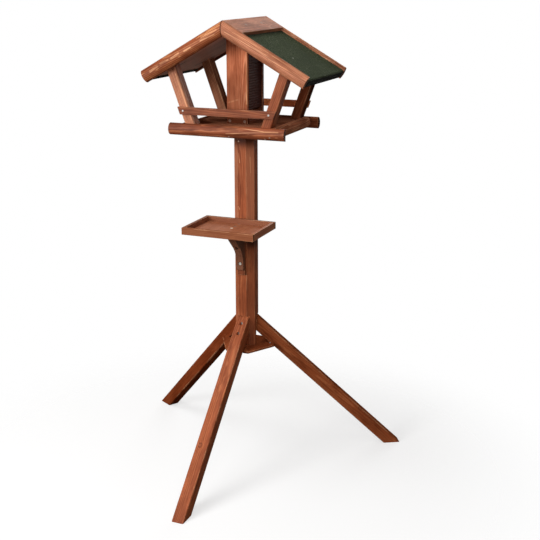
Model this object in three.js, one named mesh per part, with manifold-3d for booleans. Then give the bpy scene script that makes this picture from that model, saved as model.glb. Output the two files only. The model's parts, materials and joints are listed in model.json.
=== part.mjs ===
// A wooden bird table: an octagonal post on three splayed legs, a small water or food tray on a
// bracket, and a roofed feeding house with a seed silo that fills from under its lift-off ridge cap.
// Millimetres. +Z is up, -Y is the gable front, +X is the right side. Before the last lines move
// the model onto its own footprint, the post's axis is at x = 0, y = 0 and the ground at z = 0.

import * as THREE from 'three';
import { mergeVertices } from 'three/addons/utils/BufferGeometryUtils.js';
import Module from 'manifold-3d';

const wasm = await Module();
wasm.setup();

// Clearances
const fit_gap = 0.3;             // between pieces that touch
const cap_gap = 0.8;             // round the loose ridge cap
const cut_overrun = 6;           // how far a cutter runs past the face that it cuts

// Post: an octagonal bar
const post_across_flats = 60;
const post_length = 625;
const post_tail = 39.5;          // how far the post hangs below the legs' undersides

// Legs: three square bars let into the post, a third of a turn apart
const leg_names = ['front', 'right', 'left'];
const leg_width = 35;
const leg_thickness = 35;
const leg_top_height = 431.2;
const leg_reach = 464;           // post axis to the outer toe of the foot
const leg_seat_depth = 5.3;      // makes the flat on the octagon as wide as the leg

// Base plate under the post
const plate_thickness = 6;
const plate_side_distance = 67;     // post axis to the long edges
const plate_corner_distance = 74;   // post axis to the cut-off corners

// Screws: [head radius, head height, shank radius]
const screw_head_radius = 4;
const screw_head_height = 2.4;
const screw_shank_radius = 2;
const screw_rim = 0.6;           // straight edge of the head
const screw_tip = 5;
const counterbore_radius = 4.8;

const leg_screw_upper_length = 28;
const leg_screw_lower_length = 50;
const leg_screw_head_above_seat = 11;   // wood left under the upper screw's head
const leg_screw_upper_drop = 19;        // below the leg's top corner
const leg_screw_pitch = 23;
const plate_screw_length = 32;

// Tray
const tray_width = 209;
const tray_depth = 158;
const tray_top_height = 721;
const tray_rim_height = 19.5;
const tray_rim_thickness = 9;
const tray_floor_thickness = 6;
const tray_screw_length = 22;
const tray_screw_distances = [13, 40, 62];   // from the bracket's back to each floor screw

// Bracket under the tray, with the batten behind it
const bracket_width = 21;
const bracket_height = 128;
const bracket_foot_depth = 10;
const bracket_top_depth = 85;
const bracket_nose_height = 8;
const bracket_cove_radius = 75;
const bracket_straight_height = 17;     // upright part below the cove
const batten_thickness = 8;
const batten_tail = 16;                 // how far the batten reaches below the bracket
const batten_head_drop = 4;             // its head below the tray's rim
const bracket_screw_lower_height = 19;
const bracket_screw_upper_height = 69;
const bracket_screw_length = 38;
const bracket_counterbore_depth = 2.4;
const bracket_upper_screw_head_depth = 18;   // from the bracket's back to the upper screw's head

// Base of the house: a floor framed by half-round rails
const floor_thickness = 18;
const base_half_depth = 124;            // post axis to the flat of the front rail
const base_half_width = 127;            // post axis to the flat of a side rail
const base_rail_length = 332;
const base_rail_height = 32;
const base_rail_depth = 16;
const base_rail_rise = 4;               // rail above the floor
const rail_edge = 1.5;                  // flat arris of the half-round stock
const eased_edge = 2;                   // planed-off arris of squared stock

// Corner posts and laths
const corner_width = 27;
const corner_depth = 34;
const corner_lean = 20;                 // degrees outwards
const corner_foot_out = 123;            // outer face at the floor
const lath_height = 20;
const lath_thickness = 8;
const lath_above_floor = 27.5;
const lath_proud = 1;                   // lath end beyond the corner post

// Silo
const board_width = 60;                 // one stock for the silo and the ridge
const board_thickness = 10;
const silo_depth = 114;
const silo_top_drop = 45;               // ridge to the flat tops of the silo boards
const sheet_edge_distance = 5;          // board edge to the middle of the sheet
const sheet_thickness = 1.2;
const rib_height = 0.6;                 // to each side of the sheet's middle
const rib_pitch = 3.4;
const steps_per_rib = 4;
const groove_depth = 4;
const outlet_height = 36;               // floor to the sheet's lower edge
const spreader_edge_height = 14;
const spreader_ridge_height = 26;
const silo_screw_height = 7;
const silo_screw_half_spacing = 22;
const silo_screw_length = 26;

// Roof
const roof_pitch = 29.4;                // degrees
const ridge_rise = 274;                 // floor to the ridge line
const barge_length = 273;               // ridge to the eave, along the slope
const barge_height = 35;
const barge_depth = 16;
const roof_half_depth = 142;            // post axis to the flat of a barge rail
const panel_thickness = 15;
const felt_thickness = 2;
const felt_return = 14;                 // felt turned under at the eave
const ridge_board_width = 61;
const cap_screw_distance = 29;          // ridge to the screw, along the slope
const cap_screw_length = 26;

// Sizes that follow from those above
const turn = Math.PI / 180;
const post_apothem = post_across_flats / 2;
const post_corner_radius = post_apothem / Math.cos(Math.PI / 8);
const leg_count = leg_names.length;
const leg_seat_radius = post_apothem - leg_seat_depth;
const leg_angle = Math.atan2(leg_top_height, leg_reach - leg_seat_radius);
const leg_drop = leg_thickness / Math.cos(leg_angle);   // the leg's thickness, measured upright
const post_foot_height = leg_top_height - leg_drop - post_tail;
const post_head_height = post_foot_height + post_length;
const plate_top_height = post_foot_height - fit_gap;
const batten_back = post_apothem + fit_gap;
const bracket_back = batten_back + batten_thickness + fit_gap;
const tray_bottom_height = tray_top_height - tray_rim_height;
const bracket_top_height = tray_bottom_height - fit_gap;
const bracket_bottom_height = bracket_top_height - bracket_height;
const floor_bottom_height = post_head_height + fit_gap;
const floor_top_height = floor_bottom_height + floor_thickness;
const base_rail_bottom = floor_top_height + base_rail_rise - base_rail_height;
const ridge_height = floor_top_height + ridge_rise;
const silo_foot_height = floor_top_height + fit_gap;
const silo_top_height = ridge_height - silo_top_drop;
const silo_inner = silo_depth / 2 - board_thickness;
const sheet_place = board_width / 2 - sheet_edge_distance;
const sheet_bottom_height = floor_top_height + outlet_height;
const felt_level = -board_thickness - fit_gap;
const panel_level = felt_level - felt_thickness - fit_gap;
const panel_under_level = panel_level - panel_thickness;
const felt_return_level = panel_under_level - fit_gap;
const slope = roof_pitch * turn;
const lean = corner_lean * turn;

const model = new THREE.Group();

// Materials by name
const woods = {
  bright: 0xb4714d,
  plain: 0x9c5f43,
  dark: 0x7c4a35,
};

function wood(tone) {
  return new THREE.MeshStandardMaterial({ color: woods[tone], roughness: 0.72, metalness: 0 });
}

function zinc() {
  return new THREE.MeshStandardMaterial({ color: 0xb9b6ae, roughness: 0.38, metalness: 0.9 });
}

function felt() {
  return new THREE.MeshStandardMaterial({ color: 0x2e4634, roughness: 0.95, metalness: 0 });
}

function smokyPlastic() {
  return new THREE.MeshStandardMaterial({ color: 0x2b2524, roughness: 0.3, metalness: 0 });
}

// Solids and booleans

function toSolid(geometry) {
  const bare = geometry.clone();
  bare.deleteAttribute('normal');
  bare.deleteAttribute('uv');
  const merged = mergeVertices(bare);
  return new wasm.Manifold(new wasm.Mesh({
    numProp: 3,
    vertProperties: new Float32Array(merged.attributes.position.array),
    triVerts: new Uint32Array(merged.index.array),
  }));
}

function toGeometry(solid) {
  const mesh = solid.getMesh();
  const geometry = new THREE.BufferGeometry();
  geometry.setAttribute('position', new THREE.BufferAttribute(new Float32Array(mesh.vertProperties), 3));
  geometry.setIndex(new THREE.BufferAttribute(new Uint32Array(mesh.triVerts), 1));
  geometry.computeVertexNormals();
  return geometry;
}

function cut(geometry, cutters) {
  let solid = toSolid(geometry);
  for (const cutter of cutters) {
    solid = solid.subtract(toSolid(cutter));
  }
  return toGeometry(solid);
}

function keepInside(geometry, region) {
  return toGeometry(toSolid(geometry).intersect(toSolid(region)));
}

function add(name, geometry, material, parent = model) {
  const mesh = new THREE.Mesh(geometry, material);
  mesh.name = name;
  parent.add(mesh);
  return mesh;
}

// Shapes

function outline(points) {
  return new THREE.Shape(points.map(([a, b]) => new THREE.Vector2(a, b)));
}

function block([x0, x1], [y0, y1], [z0, z1]) {
  const box = new THREE.BoxGeometry(x1 - x0, y1 - y0, z1 - z0);
  return box.translate((x0 + x1) / 2, (y0 + y1) / 2, (z0 + z1) / 2);
}

function bar(shape, length, xAxis, yAxis, origin, curveSegments = 12) {
  const geometry = new THREE.ExtrudeGeometry(shape, { depth: length, bevelEnabled: false, curveSegments });
  const zAxis = new THREE.Vector3().crossVectors(xAxis, yAxis);
  const place = new THREE.Matrix4().makeBasis(xAxis, yAxis, zAxis).setPosition(origin);
  return geometry.applyMatrix4(place);
}

// An outline in x and z, running from y0 to y1
function gablePrism(points, [y0, y1]) {
  const xAxis = new THREE.Vector3(1, 0, 0);
  const yAxis = new THREE.Vector3(0, 0, 1);
  return bar(outline(points), y1 - y0, xAxis, yAxis, new THREE.Vector3(0, y1, 0));
}

// An outline in distance from the post axis towards -Y and z, running across the middle
function profilePrism(shape, width, curveSegments = 10) {
  const xAxis = new THREE.Vector3(0, -1, 0);
  const yAxis = new THREE.Vector3(0, 0, 1);
  return bar(shape, width, xAxis, yAxis, new THREE.Vector3(width / 2, 0, 0), curveSegments);
}

function easedSection(x0, x1, y0, y1, ease) {
  return outline([
    [x0 + ease, y0], [x1 - ease, y0], [x1, y0 + ease], [x1, y1 - ease],
    [x1 - ease, y1], [x0 + ease, y1], [x0, y1 - ease], [x0, y0 + ease],
  ]);
}

// Half-round stock: flat at 0, round towards +x, standing up from 0 to its height
function halfRoundSection(height, depth) {
  const shape = new THREE.Shape();
  shape.moveTo(0, 0);
  shape.lineTo(rail_edge, 0);
  shape.absellipse(rail_edge, height / 2, depth - rail_edge, height / 2, -Math.PI / 2, Math.PI / 2, false);
  shape.lineTo(0, height);
  shape.closePath();
  return shape;
}

function mirroredX(geometry) {
  const copy = geometry.clone().scale(-1, 1, 1);
  const index = Array.from(copy.index.array);
  for (let i = 0; i < index.length; i += 3) {
    [index[i + 1], index[i + 2]] = [index[i + 2], index[i + 1]];
  }
  copy.setIndex(index);
  copy.computeVertexNormals();
  return copy;
}

function octagon(corner_radius) {
  const points = [];
  for (let k = 0; k < 8; k += 1) {
    const angle = (k + 0.5) * Math.PI / 4;
    points.push([corner_radius * Math.cos(angle), corner_radius * Math.sin(angle)]);
  }
  return outline(points);
}

// Countersunk screws, head up and pointing down their own axis

function screwForm(length, grow = 0, above = 0) {
  const points = [
    [0, -length - grow],
    [screw_shank_radius + grow, -length + screw_tip - grow],
    [screw_shank_radius + grow, -screw_head_height - grow],
    [screw_head_radius + grow, -screw_rim - grow],
    [screw_head_radius + grow, above],
    [0, above],
  ];
  const profile = points.map(([radius, height]) => new THREE.Vector2(radius, height));
  return new THREE.LatheGeometry(profile, 10).rotateX(Math.PI / 2);
}

function aim(geometry, direction, place) {
  const from = new THREE.Vector3(0, 0, -1);
  const turned = new THREE.Quaternion().setFromUnitVectors(from, direction.clone().normalize());
  return geometry.clone().applyQuaternion(turned).translate(place.x, place.y, place.z);
}

function screw(length, direction, place) {
  return aim(screwForm(length), direction, place);
}

function screwHole(length, direction, place, above = cut_overrun) {
  return aim(screwForm(length, fit_gap, above), direction, place);
}

// A wider bore above a sunk screw head
function counterbore(direction, place, depth) {
  const bore = new THREE.CylinderGeometry(counterbore_radius, counterbore_radius, depth, 14);
  bore.rotateX(Math.PI / 2).translate(0, 0, depth / 2);
  return aim(bore, direction, place);
}

// Leg screws, in the frame of the front leg

const inwards = new THREE.Vector3(0, 1, 0);

function legFaceRadius(height) {
  return leg_seat_radius + (leg_top_height - height) / Math.tan(leg_angle);
}

function legScrews() {
  const upper_height = leg_top_height - leg_screw_upper_drop;
  const lower_height = upper_height - leg_screw_pitch;
  const upper_head = leg_seat_radius + leg_screw_head_above_seat;
  const lower_head = upper_head + leg_screw_lower_length - leg_screw_upper_length;
  return [
    { name: 'upper', length: leg_screw_upper_length, place: new THREE.Vector3(0, -upper_head, upper_height) },
    { name: 'lower', length: leg_screw_lower_length, place: new THREE.Vector3(0, -lower_head, lower_height) },
  ];
}

function legBores() {
  const bores = [];
  for (const { length, place } of legScrews()) {
    const mouth = legFaceRadius(place.z - counterbore_radius) + cut_overrun + place.y;
    bores.push(screwHole(length, inwards, place));
    bores.push(counterbore(inwards, place, mouth));
  }
  return bores;
}

function legBar() {
  const along = leg_reach / Math.cos(leg_angle) + 2 * leg_thickness;
  const section = easedSection(-leg_width / 2, leg_width / 2, -leg_thickness, 0, eased_edge);
  const xAxis = new THREE.Vector3(1, 0, 0);
  const upper = new THREE.Vector3(0, -Math.sin(leg_angle), Math.cos(leg_angle));
  const downhill = new THREE.Vector3().crossVectors(xAxis, upper);
  const corner = new THREE.Vector3(0, -leg_seat_radius, leg_top_height);
  const start = corner.addScaledVector(downhill, -leg_thickness);
  const stock = bar(section, along, xAxis, upper, start);
  const reach = leg_reach + cut_overrun;
  const region = block([-leg_width, leg_width], [-reach, -leg_seat_radius], [0, leg_top_height + cut_overrun]);
  return cut(keepInside(stock, region), legBores());
}

function buildLegs() {
  for (const [k, name] of leg_names.entries()) {
    const leg = new THREE.Group();
    leg.rotation.z = k * 2 * Math.PI / leg_count;
    add(`leg_${name}`, legBar(), wood('bright'), leg);
    for (const { name: level, length, place } of legScrews()) {
      add(`leg_screw_${name}_${level}`, screw(length, inwards, place), zinc(), leg);
    }
    model.add(leg);
  }
}

// Post, with a flat and two screw holes for each leg, and the bracket's and plate's screw holes

function legSeat() {
  const half = leg_width / 2 + cut_overrun;
  return block([-half, half], [-post_apothem - cut_overrun, -leg_seat_radius + fit_gap],
    [post_foot_height - cut_overrun, leg_top_height + fit_gap]);
}

function buildPost() {
  const bars = new THREE.ExtrudeGeometry(octagon(post_corner_radius), { depth: post_length, bevelEnabled: false });
  bars.translate(0, 0, post_foot_height);
  const cutters = [];
  for (let k = 0; k < leg_count; k += 1) {
    const angle = k * 2 * Math.PI / leg_count;
    cutters.push(legSeat().rotateZ(angle));
    for (const { length, place } of legScrews()) {
      cutters.push(screwHole(length, inwards, place).rotateZ(angle));
    }
  }
  for (const place of bracketScrews()) {
    cutters.push(screwHole(bracket_screw_length, inwards, place));
  }
  cutters.push(screwHole(plate_screw_length, new THREE.Vector3(0, 0, 1), plateScrewPlace()));
  add('post', cut(bars, cutters), wood('plain'));
}

// Base plate: a triangle with its corners cut off, slotted where the legs' undersides pass

function plateScrewPlace() {
  return new THREE.Vector3(0, 0, plate_top_height - plate_thickness);
}

function plateSlot() {
  const half = leg_width / 2 + fit_gap;
  const end = legFaceRadius(plate_top_height + fit_gap + leg_drop);
  return block([-half, half], [-plate_corner_distance - cut_overrun, -end],
    [plate_top_height - plate_thickness - cut_overrun, plate_top_height + cut_overrun]);
}

function buildPlate() {
  const side_share = Math.cos(Math.PI / leg_count);
  const half_edge = (plate_side_distance - plate_corner_distance * side_share) / Math.sin(Math.PI / leg_count);
  const up = new THREE.Vector3(0, 0, 1);
  const points = [];
  const cutters = [screwHole(plate_screw_length, up, plateScrewPlace())];
  for (let k = 0; k < leg_count; k += 1) {
    const angle = k * 2 * Math.PI / leg_count;
    for (const side of [-1, 1]) {
      const corner = new THREE.Vector2(side * half_edge, -plate_corner_distance);
      corner.rotateAround(new THREE.Vector2(0, 0), angle);
      points.push([corner.x, corner.y]);
    }
    cutters.push(plateSlot().rotateZ(angle));
  }
  const plate = new THREE.ExtrudeGeometry(outline(points), { depth: plate_thickness, bevelEnabled: false });
  plate.translate(0, 0, plate_top_height - plate_thickness);
  add('base_plate', cut(plate, cutters), wood('plain'));
  add('plate_screw', screw(plate_screw_length, up, plateScrewPlace()), zinc());
}

// Tray

const downwards = new THREE.Vector3(0, 0, -1);

function trayScrews() {
  const height = tray_bottom_height + tray_floor_thickness;
  return tray_screw_distances.map((distance) => new THREE.Vector3(0, -bracket_back - distance, height));
}

function buildTray() {
  const back = -bracket_back;
  const front = back - tray_depth;
  const half = tray_width / 2;
  const heights = [tray_bottom_height, tray_top_height];
  const inner_half = half - tray_rim_thickness;
  const inner_front = front + tray_rim_thickness;
  const inner_back = back - tray_rim_thickness;
  const floor = block([-inner_half + fit_gap, inner_half - fit_gap],
    [inner_front + fit_gap, inner_back - fit_gap],
    [tray_bottom_height, tray_bottom_height + tray_floor_thickness]);
  const holes = trayScrews().map((place) => screwHole(tray_screw_length, downwards, place));
  add('tray_floor', cut(floor, holes), wood('plain'));
  add('tray_rim_front', block([-half, half], [front, inner_front], heights), wood('bright'));
  add('tray_rim_back', block([-half, half], [inner_back, back], heights), wood('plain'));
  const sides = [inner_front + fit_gap, inner_back - fit_gap];
  add('tray_rim_right', block([inner_half, half], sides, heights), wood('plain'));
  add('tray_rim_left', block([-half, -inner_half], sides, heights), wood('dark'));
  trayScrews().forEach((place, k) => {
    add(`tray_screw_${k + 1}`, screw(tray_screw_length, downwards, place), zinc());
  });
}

// Bracket: a coved console, and the batten between it and the post

function bracketScrews() {
  const lower_head = bracket_back + bracket_foot_depth - bracket_counterbore_depth;
  const upper_head = bracket_back + bracket_upper_screw_head_depth;
  return [
    new THREE.Vector3(0, -lower_head, bracket_bottom_height + bracket_screw_lower_height),
    new THREE.Vector3(0, -upper_head, bracket_bottom_height + bracket_screw_upper_height),
  ];
}

function bracketShape() {
  const back = bracket_back;
  const foot = back + bracket_foot_depth;
  const nose = back + bracket_top_depth;
  const cove_foot = bracket_bottom_height + bracket_straight_height;
  const cove_centre = foot + bracket_cove_radius;
  const shape = new THREE.Shape();
  shape.moveTo(back, bracket_bottom_height);
  shape.lineTo(foot - eased_edge, bracket_bottom_height);
  shape.lineTo(foot, bracket_bottom_height + eased_edge);
  shape.lineTo(foot, cove_foot);
  shape.absarc(cove_centre, cove_foot, bracket_cove_radius, Math.PI, 0.75 * Math.PI, true);
  shape.lineTo(nose, bracket_top_height - bracket_nose_height);
  shape.lineTo(nose, bracket_top_height);
  shape.lineTo(back, bracket_top_height);
  shape.closePath();
  return shape;
}

function buildBracket() {
  const cutters = [];
  for (const place of bracketScrews()) {
    cutters.push(screwHole(bracket_screw_length, inwards, place));
    cutters.push(counterbore(inwards, place, bracket_top_depth));
  }
  for (const place of trayScrews()) {
    cutters.push(screwHole(tray_screw_length, downwards, place));
  }
  add('tray_bracket', cut(profilePrism(bracketShape(), bracket_width), cutters), wood('dark'));
  const half = bracket_width / 2;
  const batten = block([-half, half], [-batten_back - batten_thickness, -batten_back],
    [bracket_bottom_height - batten_tail, tray_top_height - batten_head_drop]);
  const holes = bracketScrews().map((place) => screwHole(bracket_screw_length, inwards, place));
  add('bracket_batten', cut(batten, holes), wood('plain'));
  const levels = ['lower', 'upper'];
  bracketScrews().forEach((place, k) => {
    add(`bracket_screw_${levels[k]}`, screw(bracket_screw_length, inwards, place), zinc());
  });
}

// Floor and the four half-round rails round it

function baseRail(length, distance, angle) {
  const xAxis = new THREE.Vector3(0, -1, 0);
  const yAxis = new THREE.Vector3(0, 0, 1);
  const origin = new THREE.Vector3(length / 2, -distance, base_rail_bottom);
  const section = halfRoundSection(base_rail_height, base_rail_depth);
  return bar(section, length, xAxis, yAxis, origin).rotateZ(angle);
}

function buildBase() {
  const half_width = base_half_width - fit_gap;
  const half_depth = base_half_depth - fit_gap;
  add('house_floor', block([-half_width, half_width], [-half_depth, half_depth],
    [floor_bottom_height, floor_top_height]), wood('plain'));
  add('base_rail_front', baseRail(base_rail_length, base_half_depth, 0), wood('bright'));
  add('base_rail_back', baseRail(base_rail_length, base_half_depth, Math.PI), wood('dark'));
  add('base_rail_right', baseRail(2 * half_depth, base_half_width, Math.PI / 2), wood('dark'));
  add('base_rail_left', baseRail(2 * half_depth, base_half_width, -Math.PI / 2), wood('dark'));
}

// Lines of the roof: a point down the right slope, with its distance above the ridge boards' face,
// and the height of such a level over a place x

function roofPoint(down, level) {
  return [down * Math.cos(slope) + level * Math.sin(slope),
    ridge_height - down * Math.sin(slope) + level * Math.cos(slope)];
}

function roofHeight(x, level) {
  return ridge_height + level / Math.cos(slope) - x * Math.tan(slope);
}

// Corner posts lean outwards and are cut to the roof; laths are nailed across them

function cornerOuter(height) {
  return corner_foot_out + (height - floor_top_height) * Math.tan(lean);
}

function cornerPost() {
  const along = ridge_rise / Math.cos(lean);
  const front = -base_half_depth + fit_gap;
  const section = easedSection(-corner_width, 0, 0, corner_depth, eased_edge);
  const across = new THREE.Vector3(Math.cos(lean), 0, -Math.sin(lean));
  const back = new THREE.Vector3(0, 1, 0);
  const low = floor_top_height - corner_width;
  const origin = new THREE.Vector3(cornerOuter(low), front, low);
  const stock = bar(section, along, across, back, origin);
  const foot = floor_top_height + fit_gap;
  const head = roofHeight(0, panel_under_level - fit_gap);
  const eave = (head - foot) / Math.tan(slope);
  const region = gablePrism([[0, foot], [eave, foot], [0, head]],
    [front - cut_overrun, front + corner_depth + cut_overrun]);
  return keepInside(stock, region);
}

function buildCorners() {
  const right = cornerPost();
  const left = mirroredX(right);
  add('corner_post_front_right', right, wood('bright'));
  add('corner_post_front_left', left, wood('bright'));
  add('corner_post_back_left', right.clone().rotateZ(Math.PI), wood('dark'));
  add('corner_post_back_right', left.clone().rotateZ(Math.PI), wood('dark'));
}

function buildLaths() {
  const low = floor_top_height + lath_above_floor;
  const high = low + lath_height;
  const low_half = cornerOuter(low) + lath_proud;
  const high_half = cornerOuter(high) + lath_proud;
  const points = [[-low_half, low], [low_half, low], [high_half, high], [-high_half, high]];
  const lath = gablePrism(points, [-base_half_depth - lath_thickness, -base_half_depth]);
  add('lath_front', lath, wood('bright'));
  add('lath_back', lath.clone().rotateZ(Math.PI), wood('dark'));
}

// Silo: two boards, two ribbed sheets in stopped grooves and a seed spreader at its foot

function siloScrews() {
  const height = floor_top_height + silo_screw_height;
  const places = [];
  for (const side of [-1, 1]) {
    places.push(new THREE.Vector3(side * silo_screw_half_spacing, -silo_depth / 2, height));
  }
  return places;
}

function siloBoard() {
  const half = board_width / 2;
  const board = block([-half, half], [-silo_depth / 2, -silo_inner], [silo_foot_height, silo_top_height]);
  const groove_half = sheet_thickness / 2 + rib_height + fit_gap;
  const cutters = [];
  for (const side of [-1, 1]) {
    const middle = side * sheet_place;
    cutters.push(block([middle - groove_half, middle + groove_half],
      [-silo_inner - groove_depth, -silo_inner + cut_overrun],
      [sheet_bottom_height - fit_gap, silo_top_height + cut_overrun]));
  }
  for (const place of siloScrews()) {
    cutters.push(screwHole(silo_screw_length, inwards, place));
  }
  return cut(board, cutters);
}

function ribbedSheet(side) {
  const height = silo_top_height - sheet_bottom_height;
  const steps = steps_per_rib * Math.floor(height / rib_pitch);
  const outer = [];
  const inner = [];
  for (let k = 0; k <= steps; k += 1) {
    const z = sheet_bottom_height + k * rib_pitch / steps_per_rib;
    const wave = rib_height * Math.sin(k * 2 * Math.PI / steps_per_rib);
    outer.push([side * sheet_place + wave + sheet_thickness / 2, z]);
    inner.push([side * sheet_place + wave - sheet_thickness / 2, z]);
  }
  const reach = silo_inner + groove_depth - fit_gap;
  return gablePrism([...outer, ...inner.reverse()], [-reach, reach]);
}

function spreader() {
  const half = board_width / 2 - eased_edge;
  const reach = silo_inner - fit_gap;
  const points = [
    [-half, silo_foot_height], [half, silo_foot_height], [half, floor_top_height + spreader_edge_height],
    [0, floor_top_height + spreader_ridge_height], [-half, floor_top_height + spreader_edge_height],
  ];
  const cutters = [];
  for (const place of siloScrews()) {
    const hole = screwHole(silo_screw_length, inwards, place);
    cutters.push(hole, hole.clone().rotateZ(Math.PI));
  }
  return cut(gablePrism(points, [-reach, reach]), cutters);
}

function buildSilo() {
  const board = siloBoard();
  add('silo_board_front', board, wood('bright'));
  add('silo_board_back', board.clone().rotateZ(Math.PI), wood('plain'));
  add('silo_sheet_right', ribbedSheet(1), smokyPlastic());
  add('silo_sheet_left', ribbedSheet(-1), smokyPlastic());
  add('seed_spreader', spreader(), wood('plain'));
  siloScrews().forEach((place, k) => {
    const geometry = screw(silo_screw_length, inwards, place);
    add(`silo_screw_front_${k + 1}`, geometry, zinc());
    add(`silo_screw_back_${k + 1}`, geometry.clone().rotateZ(Math.PI), zinc());
  });
}

// Roof: panels and felt on both slopes, notched round the silo, between four half-round barge rails

function siloNotch() {
  const half = board_width / 2 + cap_gap;
  const reach = silo_depth / 2 + cap_gap;
  const low = silo_top_height - panel_thickness - cut_overrun;
  return block([-half, half], [-reach, reach], [low, ridge_height + cut_overrun]);
}

function roofPanel() {
  const start = fit_gap / 2;
  const end = barge_length - felt_thickness - fit_gap;
  const reach = roof_half_depth - fit_gap;
  const points = [
    [start, roofHeight(start, panel_level)], roofPoint(end, panel_level),
    roofPoint(end, panel_under_level), [start, roofHeight(start, panel_under_level)],
  ];
  return cut(gablePrism(points, [-reach, reach]), [siloNotch()]);
}

function feltSheet() {
  const start = fit_gap / 2;
  const end = barge_length;
  const under = end - felt_return;
  const reach = roof_half_depth - fit_gap;
  const points = [
    [start, roofHeight(start, felt_level)],
    roofPoint(end, felt_level),
    roofPoint(end, felt_return_level - felt_thickness),
    roofPoint(under, felt_return_level - felt_thickness),
    roofPoint(under, felt_return_level),
    roofPoint(end - felt_thickness, felt_return_level),
    roofPoint(end - felt_thickness, felt_level - felt_thickness),
    [start, roofHeight(start, felt_level - felt_thickness)],
  ];
  return cut(gablePrism(points, [-reach, reach]), [siloNotch()]);
}

function bargeRail() {
  const outwards = new THREE.Vector3(0, -1, 0);
  const above = new THREE.Vector3(Math.sin(slope), 0, Math.cos(slope));
  const [x, z] = roofPoint(barge_length, -barge_height);
  const origin = new THREE.Vector3(x, -roof_half_depth, z);
  const section = halfRoundSection(barge_height, barge_depth);
  const stock = bar(section, barge_length + barge_height, outwards, above, origin);
  const low = ridge_height - barge_length;
  const region = block([fit_gap / 2, 2 * barge_length],
    [-roof_half_depth - barge_depth - cut_overrun, -roof_half_depth + cut_overrun],
    [low - barge_height, ridge_height + barge_height]);
  return keepInside(stock, region);
}

function buildRoof() {
  const panel = roofPanel();
  add('roof_panel_right', panel, wood('dark'));
  add('roof_panel_left', panel.clone().rotateZ(Math.PI), wood('dark'));
  const sheet = feltSheet();
  add('roof_felt_right', sheet, felt());
  add('roof_felt_left', sheet.clone().rotateZ(Math.PI), felt());
  const right = bargeRail();
  const left = mirroredX(right);
  add('barge_rail_front_right', right, wood('bright'));
  add('barge_rail_front_left', left, wood('bright'));
  add('barge_rail_back_left', right.clone().rotateZ(Math.PI), wood('plain'));
  add('barge_rail_back_right', left.clone().rotateZ(Math.PI), wood('plain'));
}

// Ridge cap: two boards screwed to two gussets that drop into the roof's notch and close the silo

function capScrewPlace(side, end) {
  const [x, z] = roofPoint(cap_screw_distance, 0);
  return new THREE.Vector3(side * x, end * (silo_depth - board_thickness) / 2, z);
}

function capScrewDirection(side) {
  return new THREE.Vector3(-side * Math.sin(slope), 0, -Math.cos(slope));
}

function ridgeBoard(side) {
  const start = fit_gap / 2;
  const reach = roof_half_depth - cap_gap;
  const points = [
    [start, roofHeight(start, 0)], roofPoint(ridge_board_width, 0),
    roofPoint(ridge_board_width, -board_thickness), [start, roofHeight(start, -board_thickness)],
  ];
  const placed = points.map(([x, z]) => [side * x, z]);
  const holes = [-1, 1].map((end) => (
    screwHole(cap_screw_length, capScrewDirection(side), capScrewPlace(side, end))));
  return cut(gablePrism(placed, [-reach, reach]), holes);
}

function gusset(end) {
  const half = board_width / 2;
  const level = -board_thickness - fit_gap;
  const foot = silo_top_height + fit_gap;
  const points = [
    [-half, foot], [half, foot], [half, roofHeight(half, level)],
    [0, roofHeight(0, level)], [-half, roofHeight(half, level)],
  ];
  const near = silo_depth / 2;
  const far = near - board_thickness;
  const span = end > 0 ? [far, near] : [-near, -far];
  const holes = [-1, 1].map((side) => (
    screwHole(cap_screw_length, capScrewDirection(side), capScrewPlace(side, end))));
  return cut(gablePrism(points, span), holes);
}

function buildCap() {
  const sides = [['right', 1], ['left', -1]];
  const ends = [['front', -1], ['back', 1]];
  for (const [name, side] of sides) {
    add(`ridge_board_${name}`, ridgeBoard(side), wood('plain'));
    for (const [end_name, end] of ends) {
      const geometry = screw(cap_screw_length, capScrewDirection(side), capScrewPlace(side, end));
      add(`cap_screw_${end_name}_${name}`, geometry, zinc());
    }
  }
  for (const [name, end] of ends) {
    add(`cap_gusset_${name}`, gusset(end), wood('plain'));
  }
}

buildPost();
buildLegs();
buildPlate();
buildTray();
buildBracket();
buildBase();
buildCorners();
buildLaths();
buildSilo();
buildRoof();
buildCap();

// The origin is the middle of the footprint, on the ground
model.updateMatrixWorld(true);
const bounds = new THREE.Box3().setFromObject(model, true);
const centre = bounds.getCenter(new THREE.Vector3());
model.position.set(-centre.x, -centre.y, -bounds.min.z);
model.updateMatrixWorld(true);

const bird_table = new THREE.Group();
bird_table.add(model);
bird_table.updateMatrixWorld(true);

export default bird_table;
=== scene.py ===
"""The looks of a wooden bird table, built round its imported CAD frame.

Metres, in the frame's own axes: +Z up, -Y the gable front, +X the right side.
Timber pieces are the frame's solids with dressed arrises and a stained softwood grain of their own.
Screws, nails and the ribbed silo sheets are new pieces. The felt is the frame's, bent over the eaves.
"""

import json
import math
import random

import bpy
import numpy as np
from mathutils import Matrix, Vector


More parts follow.
